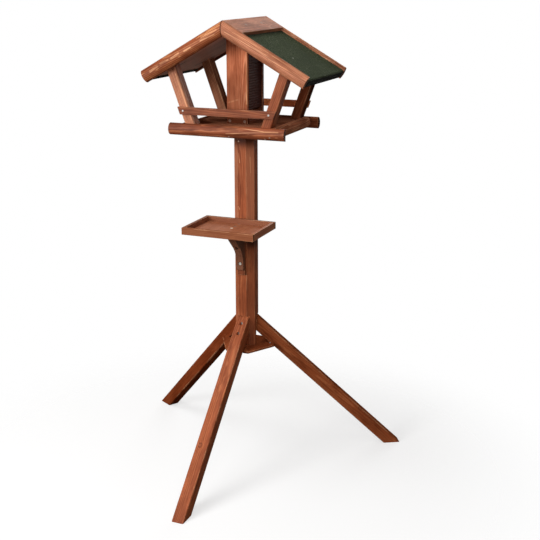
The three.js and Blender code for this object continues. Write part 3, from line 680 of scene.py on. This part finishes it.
def felt_material():
    """Green mineral granules on top; black bitumen where the sheet turns under, and the same black painted
    on the eave's downward face as painted shade.
    """
    material, tree, principled = new_material("mineral_felt")
    place = shader(tree, "ShaderNodeTexCoord")
    where = place.outputs["Object"]
    granule, from_granule = granules(tree, where, GRANULE_FINENESS, "Red")
    clump, from_clump = granules(tree, where, CLUMP_FINENESS, "Green")
    drift = noise(tree, where, *DRIFT_PATTERN)

    colour = blended(tree, span(tree, granule, *LIGHT_GRANULES), GRANULE_DARK, GRANULE_LIGHT)
    colour = blended(tree, span(tree, clump, *LIGHT_CLUMPS), colour, CLUMP_LIGHT)
    colour = blended(tree, span(tree, clump, *DARK_CLUMPS), colour, CLUMP_DARK)
    speck = maths(
        tree, "MULTIPLY", span(tree, clump, *SPECKED_CLUMPS), span(tree, from_clump, *SPECK_EDGE))
    speck = maths(tree, "MAXIMUM", speck, span(tree, granule, *SPECKED_GRANULES))
    colour = blended(tree, maths(tree, "MULTIPLY", speck, SPECK_SHARE), colour, SPECK)
    colour = blended(tree, span(tree, drift, *DARK_DRIFTS), colour, DRIFT)
    colour = blended(tree, stroke_field(tree, where, FELT_CHIP), colour, CHIPPED)
    # Faces turned down go black: bitumen underneath, and painted shade on the eave's edge
    top = span(tree, part_of(tree, place.outputs["Normal"], "Z"), *TURNED_UP)
    tree.links.new(blended(tree, top, BITUMEN_AND_PAINTED_SHADE, colour), principled.inputs["Base Color"])

    principled.inputs["Roughness"].default_value = FELT_ROUGHNESS
    principled.inputs["Specular IOR Level"].default_value = FELT_GLOSS
    relief = maths(tree, "MULTIPLY", drift, DRIFT_RELIEF)
    relief = maths(tree, "MULTIPLY_ADD", from_granule, -CLUMP_RELIEF, relief)
    bumped(tree, principled, relief, FELT_RELIEF_DEPTH)
    return material


def zinc_material(name, dark, light, metallic, gloss):
    """Plated steel with a faint cloudiness."""
    material, tree, principled = new_material(name)
    where = shader(tree, "ShaderNodeTexCoord").outputs["Object"]
    cloud = noise(tree, where, *CLOUD_PATTERN)
    tree.links.new(blended(tree, cloud, dark, light), principled.inputs["Base Color"])
    roughness = maths(tree, "MULTIPLY_ADD", cloud, CLOUD_ROUGHNESS, ZINC_ROUGHNESS)
    tree.links.new(roughness, principled.inputs["Roughness"])
    principled.inputs["Metallic"].default_value = metallic
    principled.inputs["Specular IOR Level"].default_value = gloss
    bumped(tree, principled, cloud, CLOUD_RELIEF_DEPTH)
    return material


def shaded_sheet_material():
    """Plastic painted dark for the shaded inside of the silo seen through it (painted shade), with dust in
    the ribs.
    """
    material, tree, principled = new_material("smoked_plastic")
    where = shader(tree, "ShaderNodeTexCoord").outputs["Object"]
    dust = noise(tree, where, *DUST_PATTERN)
    # The sheet's dark is painted shade: the shaded inside of the silo seen through it
    colour = blended(tree, span(tree, dust, *DUST_SPAN), SHEET_PAINTED_SHADE, DUST)
    tree.links.new(colour, principled.inputs["Base Color"])
    tree.links.new(span(tree, dust, *SHEET_ROUGHNESS), principled.inputs["Roughness"])
    principled.inputs["Specular IOR Level"].default_value = SHEET_GLOSS
    bumped(tree, principled, dust, DUST_RELIEF_DEPTH)
    return material


# Modelling helpers

def deselect():
    if bpy.context.mode != "OBJECT":
        bpy.ops.object.mode_set(mode="OBJECT")
    bpy.ops.object.select_all(action="DESELECT")


def pick(piece):
    deselect()
    piece.select_set(True)
    bpy.context.view_layer.objects.active = piece


def select_bottom(piece):
    """Edit mode, with only the piece's bottom face selected."""
    bpy.ops.object.mode_set(mode="EDIT")
    bpy.ops.mesh.select_mode(type="FACE")
    bpy.ops.mesh.select_all(action="DESELECT")
    bpy.ops.object.mode_set(mode="OBJECT")
    for face in piece.data.polygons:
        face.select = face.normal.z < FACING_DOWN
    bpy.ops.object.mode_set(mode="EDIT")


def settled(piece, name):
    """The finished piece's object goes to the origin, with its place in its mesh."""
    pick(piece)
    bpy.ops.object.transform_apply(location=True, rotation=True, scale=True)
    piece.name = name
    piece.data.name = name


def own_copy(pattern):
    """A copy of a pattern with its own mesh."""
    piece = pattern.copy()
    piece.data = pattern.data.copy()
    bpy.context.scene.collection.objects.link(piece)
    return piece


def copy_of_node(node, name):
    """A solid of the frame as a free piece, its triangles merged into whole faces."""
    pick(frame["nodes"][node])
    bpy.ops.object.duplicate()
    piece = bpy.context.view_layer.objects.active
    piece.parent = None
    for key in list(piece.keys()):
        del piece[key]
    piece.data.materials.clear()
    piece.name = name
    piece.data.name = name
    pick(piece)
    bpy.ops.object.mode_set(mode="EDIT")
    bpy.ops.mesh.select_all(action="SELECT")
    bpy.ops.mesh.remove_doubles(threshold=MERGE)
    bpy.ops.mesh.dissolve_limited(angle_limit=LEVEL)
    bpy.ops.object.mode_set(mode="OBJECT")
    return piece


def long_direction(piece):
    """The way that a piece's length runs, which is the way of its grain, and the piece's middle."""
    places = np.array([v.co for v in piece.data.vertices])
    middle = (places.max(0) + places.min(0)) / 2
    _, _, rows = np.linalg.svd(places - middle, full_matrices=False)
    way = Vector(rows[0]).normalized()
    return (way if max(way, key=abs) > 0 else -way), Vector(middle)


def body_of(node):
    """The moving body that a node belongs to."""
    for body, members in frame["record"]["behaviour"]["bodies"].items():
        if node in members:
            return body
    return "table"


# Timber pieces

def weigh_arrises(piece):
    """The long sharp edges take the dressing; the rims of screw holes don't."""
    mesh = piece.data
    faces_of = {}
    for face in mesh.polygons:
        for key in face.edge_keys:
            faces_of.setdefault(key, []).append(face.normal.copy())
    weights = mesh.attributes.new("bevel_weight_edge", "FLOAT", "EDGE")
    for index, edge in enumerate(mesh.edges):
        normals = faces_of.get(edge.key, [])
        ends = [mesh.vertices[v].co for v in edge.vertices]
        sharp = len(normals) == 2 and normals[0].angle(normals[1], 0) > SHARP
        long_enough = (ends[0] - ends[1]).length > SHORTEST_ARRIS
        weights.data[index].value = 1.0 if sharp and long_enough else 0.0


def mark_worn(piece):
    """A place is worn where all the faces round it are part of a rounded arris."""
    touches = {}
    for face in piece.data.polygons:
        for vertex in face.vertices:
            touches.setdefault(vertex, set()).add(face.material_index)
        face.material_index = FLAT_SLOT
    worn = piece.data.attributes.new("worn", "FLOAT", "POINT")
    for vertex, kinds in touches.items():
        worn.data[vertex].value = 1.0 if kinds == {ARRIS_SLOT} else 0.0


def dress_arrises(piece, width):
    """Rounds the arrises, marks their middles as worn and keeps the flats' shading flat."""
    weigh_arrises(piece)
    pick(piece)
    for _ in (FLAT_SLOT, ARRIS_SLOT):
        piece.data.materials.append(None)
    arris = piece.modifiers.new("arris", "BEVEL")
    arris.limit_method = "WEIGHT"
    arris.width = width
    arris.segments = ARRIS_STEPS
    arris.material = ARRIS_SLOT
    bpy.ops.object.modifier_apply(modifier="arris")
    mark_worn(piece)
    piece.data.materials.clear()
    bpy.ops.object.shade_smooth_by_angle(angle=SMOOTH)
    flats = piece.modifiers.new("flats", "WEIGHTED_NORMAL")
    flats.keep_sharp = True
    bpy.ops.object.modifier_apply(modifier="flats")


def timber_nodes():
    """The frame's stained timber nodes, each with its material slot."""
    slots = {entry["node"]: entry["material_slot"] for entry in frame["record"]["subparts"]}
    return {node: slot for node, slot in slots.items() if slot.startswith("stained")}


def build_timber():
    for seed, (node, slot) in enumerate(sorted(timber_nodes().items())):
        piece = copy_of_node(node, "timber_" + node)
        material = timber_material(node, piece, seed)
        dress_arrises(piece, setting_of(node, ARRIS_WIDTHS, FINE_ARRIS))
        piece.data.materials.append(material)
        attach(piece, body_of(node))
        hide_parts(node)


# Screws

def recess_blades():
    """Two crossing tapered blades, the form of a driver's tip."""
    blades = []
    for turn in (0, math.pi / 2):
        bpy.ops.mesh.primitive_cube_add(size=1, location=(0, 0, RECESS_RISE))
        blade = bpy.context.view_layer.objects.active
        blade.scale = (RECESS_SPAN, RECESS_WIDTH, RECESS_HEIGHT)
        bpy.ops.object.transform_apply(location=True, rotation=True, scale=True)
        select_bottom(blade)
        bpy.ops.transform.resize(value=(RECESS_TAPER, 1, 1))
        bpy.ops.object.mode_set(mode="OBJECT")
        blade.data.transform(Matrix.Rotation(turn, 4, "Z"))
        blades.append(blade)
    return blades


def cut_recess(screw):
    for number, blade in enumerate(recess_blades()):
        pick(screw)
        recess = screw.modifiers.new(f"recess_{number}", "BOOLEAN")
        recess.operation = "DIFFERENCE"
        recess.object = blade
        recess.solver = "EXACT"
        bpy.ops.object.modifier_apply(modifier=recess.name)
        bpy.data.objects.remove(blade)


def screw_pattern():
    """One countersunk screw, its head up at the origin."""
    deselect()
    bpy.ops.mesh.primitive_cylinder_add(
        vertices=HEAD_SIDES, radius=HEAD_RADIUS, depth=HEAD_RIM, location=(0, 0, -HEAD_RIM / 2))
    screw = bpy.context.view_layer.objects.active
    countersink = (HEAD_HEIGHT - HEAD_RIM, SHANK_RADIUS / HEAD_RADIUS)
    select_bottom(screw)
    for drop, taper in (countersink, (SHANK_LENGTH, SHANK_TAPER), (POINT_LENGTH, POINT_TAPER)):
        bpy.ops.mesh.extrude_region_move(TRANSFORM_OT_translate={"value": (0, 0, -drop)})
        bpy.ops.transform.resize(value=(taper, taper, 1))
    bpy.ops.object.mode_set(mode="OBJECT")
    cut_recess(screw)
    pick(screw)
    bpy.ops.object.shade_smooth_by_angle(angle=SMOOTH)
    return screw


def screw_place(node):
    """The middle of a screw's head, the way that it points and its length, read from its solid."""
    places = np.unique(np.round([v.co for v in frame["nodes"][node].data.vertices], 6), axis=0)
    middle = places.mean(0)
    _, _, rows = np.linalg.svd(places - middle, full_matrices=False)
    way = rows[0]
    reach = (places - middle) @ way
    off_axis = np.linalg.norm((places - middle) - np.outer(reach, way), axis=1)
    if reach[np.argmax(off_axis)] > 0:
        way = -way
        reach = -reach
    rim = places[off_axis > off_axis.max() * RIM_SHARE]
    rim = rim[np.isclose((rim - middle) @ way, reach.min(), atol=RIM_DEPTH)]
    return Vector(rim.mean(0)), Vector(way).normalized(), float(reach.max() - reach.min())


def build_screws(zinc):
    pattern = screw_pattern()
    pattern_length = HEAD_HEIGHT + SHANK_LENGTH + POINT_LENGTH
    rand = random.Random(SPIN_SEED)
    for node in sorted(n for n in frame["nodes"] if "screw" in n):
        head, way, length = screw_place(node)
        piece = own_copy(pattern)
        for vertex in piece.data.vertices:
            if vertex.co.z < -BELOW_HEAD:
                vertex.co.z *= length / pattern_length
        spin = Matrix.Rotation(rand.uniform(0, math.pi), 4, "Z")
        aim = (-UP).rotation_difference(way).to_matrix().to_4x4()
        piece.data.transform(Matrix.Translation(head) @ aim @ spin)
        piece.data.materials.append(zinc[setting_of(node, FIXING_FINISHES, USUAL_FIXING_FINISH)])
        settled(piece, "fixing_" + node)
        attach(piece, body_of(node))
        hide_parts(node)
    bpy.data.objects.remove(pattern)


# Nails

def nail_pattern():
    """One nail: a flat head with a rounded rim on a short shank, head up at the origin."""
    deselect()
    bpy.ops.mesh.primitive_cylinder_add(
        vertices=NAIL_SIDES, radius=NAIL_RADIUS, depth=NAIL_HEAD_THICKNESS,
        location=(0, 0, NAIL_HEAD_PROUD - NAIL_HEAD_THICKNESS / 2))
    nail = bpy.context.view_layer.objects.active
    select_bottom(nail)
    bpy.ops.mesh.extrude_region_move()
    bpy.ops.transform.resize(value=(NAIL_SHANK_SHARE, NAIL_SHANK_SHARE, 1))
    bpy.ops.mesh.extrude_region_move(TRANSFORM_OT_translate={"value": (0, 0, -NAIL_LENGTH)})
    bpy.ops.object.mode_set(mode="OBJECT")
    rim = nail.modifiers.new("rim", "BEVEL")
    rim.width = NAIL_RIM
    rim.segments = NAIL_RIM_STEPS
    bpy.ops.object.modifier_apply(modifier="rim")
    bpy.ops.object.shade_smooth_by_angle(angle=SMOOTH)
    return nail


def rail_face(low, high, height):
    """How far forward the front rail's half-round face lies, at a height."""
    rise = (height - (low.z + high.z) / 2) / ((high.z - low.z) / 2)
    return high.y - (high.y - low.y) * math.sqrt(max(0, 1 - rise * rise))


def front_nails():
    """The front nails' names and the places of their heads."""
    rail_low, rail_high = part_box("base_rail_front")
    lath_low, lath_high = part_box("lath_front")
    heads = {}
    for name, (aside, height_share) in RAIL_NAILS.items():
        height = rail_low.z + height_share * (rail_high.z - rail_low.z)
        heads[name] = Vector((axis.x + aside, rail_face(rail_low, rail_high, height), height))
    for name, aside in LATH_NAILS.items():
        heads[name] = Vector((axis.x + aside, lath_low.y, (lath_low.z + lath_high.z) / 2))
    heads["post_toe"] = Vector((axis.x + TOE_NAIL_ASIDE, post_low.y, post_high.z - TOE_NAIL_DEPTH))
    return heads


def build_nails(zinc):
    """The front nails, and the same at the back but for the toe nail."""
    pattern = nail_pattern()
    for name, head in front_nails().items():
        width = LATH_NAIL_WIDENING if name.startswith("lath") else 1.0
        for side, flip in (("front", 1), ("back", -1)):
            if flip < 0 and name == "post_toe":
                continue
            at = Vector((head.x, axis.y + flip * (head.y - axis.y), head.z))
            aim = (-UP).rotation_difference(INWARD * flip).to_matrix().to_4x4()
            piece = own_copy(pattern)
            piece.data.transform(Matrix.Translation(at) @ aim @ Matrix.Diagonal((width, width, 1, 1)))
            piece.data.materials.append(zinc[setting_of(name, FIXING_FINISHES, USUAL_FIXING_FINISH)])
            settled(piece, f"nail_{side}_{name}")
            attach(piece, "table")
    bpy.data.objects.remove(pattern)


# Silo sheets

def ribbed_sheet(node, material):
    """A grid shaped into round ribs, then given its thickness."""
    low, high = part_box(node)
    middle = (low + high) / 2
    ribs = int((high.z - low.z) / RIB_PITCH)
    deselect()
    bpy.ops.mesh.primitive_grid_add(x_subdivisions=2, y_subdivisions=ribs * RIB_STEPS, size=1)
    sheet = bpy.context.view_layer.objects.active
    for vertex in sheet.data.vertices:
        along, up = vertex.co.x, vertex.co.y + 0.5
        wave = RIB_HEIGHT * math.sin(up * ribs * 2 * math.pi)
        vertex.co = (middle.x + wave, middle.y + along * (high.y - low.y), low.z + up * (high.z - low.z))
    pick(sheet)
    wall = sheet.modifiers.new("wall", "SOLIDIFY")
    wall.thickness = SHEET_THICKNESS
    wall.offset = 0
    bpy.ops.object.modifier_apply(modifier="wall")
    bpy.ops.object.shade_smooth_by_angle(angle=RIB_SMOOTH)
    sheet.data.materials.append(material)
    settled(sheet, "ribbed_" + node)
    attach(sheet, body_of(node))
    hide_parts(node)


def build_silo_sheets(material):
    for node in ("silo_sheet_left", "silo_sheet_right"):
        ribbed_sheet(node, material)


# Felt

def round_eave(piece):
    """The sheet turns over the eave in a bend, not a fold."""
    mesh = piece.data
    outermost = max(abs(vertex.co.x - axis.x) for vertex in mesh.vertices)
    weights = mesh.attributes.new("bevel_weight_edge", "FLOAT", "EDGE")
    for index, edge in enumerate(mesh.edges):
        ends = [mesh.vertices[v].co for v in edge.vertices]
        at_eave = all(abs(end.x - axis.x) > outermost - EAVE_REACH for end in ends)
        long_enough = (ends[0] - ends[1]).length > SHORTEST_ARRIS
        weights.data[index].value = 1.0 if at_eave and long_enough else 0.0
    pick(piece)
    bend = piece.modifiers.new("bend", "BEVEL")
    bend.limit_method = "WEIGHT"
    bend.width = EAVE_BEND
    bend.segments = EAVE_BEND_STEPS
    bpy.ops.object.modifier_apply(modifier="bend")


def build_felt(material):
    for node in ("roof_felt_left", "roof_felt_right"):
        piece = copy_of_node(node, "sheet_" + node)
        round_eave(piece)
        pick(piece)
        bpy.ops.object.shade_smooth_by_angle(angle=SMOOTH)
        piece.data.materials.append(material)
        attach(piece, body_of(node))
        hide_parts(node)


# Stage, light and camera

def floor_material():
    """Pale and glowing to the camera, a weak bounce for all else, and clear away from the table."""
    material, tree, principled = new_material("pale_floor")
    principled.inputs["Base Color"].default_value = FLOOR_PAINT
    principled.inputs["Roughness"].default_value = FLOOR_ROUGHNESS
    principled.inputs["Specular IOR Level"].default_value = 0.0
    glow = shader(tree, "ShaderNodeEmission", {"Color": WHITE, "Strength": FLOOR_GLOW})
    seen = shader(tree, "ShaderNodeMixShader", {
        0: FLOOR_GLOW_SHARE, 1: principled.outputs[0], 2: glow.outputs[0]})
    bounce = shader(tree, "ShaderNodeBsdfDiffuse", {"Color": FLOOR_BOUNCE})
    path = shader(tree, "ShaderNodeLightPath")
    either = shader(tree, "ShaderNodeMixShader", {
        0: path.outputs["Is Camera Ray"], 1: bounce.outputs[0], 2: seen.outputs[0]})
    where = shader(tree, "ShaderNodeTexCoord").outputs["Object"]
    fade = span(tree, vectors(tree, "LENGTH", where, output=1), *FLOOR_FADE)
    clear = shader(tree, "ShaderNodeBsdfTransparent")
    mixed = shader(tree, "ShaderNodeMixShader", {0: fade, 1: either.outputs[0], 2: clear.outputs[0]})
    tree.links.new(mixed.outputs[0], tree.nodes["Material Output"].inputs["Surface"])
    return material


def build_floor():
    """A pale floor that fades into the white round it."""
    deselect()
    bpy.ops.mesh.primitive_circle_add(
        vertices=FLOOR_SIDES, radius=FLOOR_RADIUS, fill_type="NGON", location=(0, 0, -FLOOR_DROP))
    floor = bpy.context.view_layer.objects.active
    floor.name = "floor"
    floor.data.materials.append(floor_material())


def build_world():
    """An even soft light on the table, seen by the camera as white."""
    world = bpy.data.worlds.new("studio")
    bpy.context.scene.world = world
    world.use_nodes = True
    tree = world.node_tree
    soft = tree.nodes["Background"]
    soft.inputs["Color"].default_value = SOFT_LIGHT
    soft.inputs["Strength"].default_value = SOFT_LIGHT_STRENGTH
    white = shader(tree, "ShaderNodeBackground", {"Color": WHITE, "Strength": 1.0})
    seen = shader(tree, "ShaderNodeLightPath").outputs["Is Camera Ray"]
    mixed = shader(tree, "ShaderNodeMixShader", {0: seen, 1: soft.outputs[0], 2: white.outputs[0]})
    tree.links.new(mixed.outputs[0], tree.nodes["World Output"].inputs["Surface"])


def add_lamp(name, azimuth, height, distance, side, power, target_height):
    """A square soft lamp at an azimuth from the front, aimed at the post."""
    lamp = bpy.data.lights.new(name, "AREA")
    lamp.size = side
    lamp.energy = power
    holder = bpy.data.objects.new(name, lamp)
    bpy.context.scene.collection.objects.link(holder)
    turn = math.radians(azimuth)
    place = Vector((axis.x + math.sin(turn) * distance, axis.y - math.cos(turn) * distance, height))
    target = Vector((axis.x, axis.y, target_height))
    holder.location = place
    holder.rotation_euler = (target - place).to_track_quat("-Z", "Y").to_euler()


def build_lights():
    for name, placing in LAMPS.items():
        add_lamp(name, *placing)


def build_camera():
    camera = bpy.data.cameras.new("camera")
    camera.sensor_width = SENSOR_SIDE
    camera.lens = FOCAL_PIXELS / IMAGE_SIDE * SENSOR_SIDE
    camera.clip_start = NEAREST_SEEN
    camera.clip_end = FARTHEST_SEEN
    holder = bpy.data.objects.new("camera", camera)
    bpy.context.scene.collection.objects.link(holder)
    turn = math.radians(CAMERA_AZIMUTH)
    holder.location = axis + Vector((
        math.sin(turn) * CAMERA_DISTANCE, -math.cos(turn) * CAMERA_DISTANCE, CAMERA_HEIGHT))
    holder.rotation_euler = (math.radians(90 - CAMERA_DIP), 0, math.radians(CAMERA_AZIMUTH + CAMERA_TURN))
    bpy.context.scene.camera = holder


build_timber()
zinc_finishes = {name: zinc_material(name, *looks) for name, looks in ZINC_FINISHES.items()}
build_screws(zinc_finishes)
build_nails(zinc_finishes)
build_silo_sheets(shaded_sheet_material())
build_felt(felt_material())
build_floor()
build_world()
build_lights()
build_camera()
bpy.context.scene.view_settings.view_transform = "Standard"
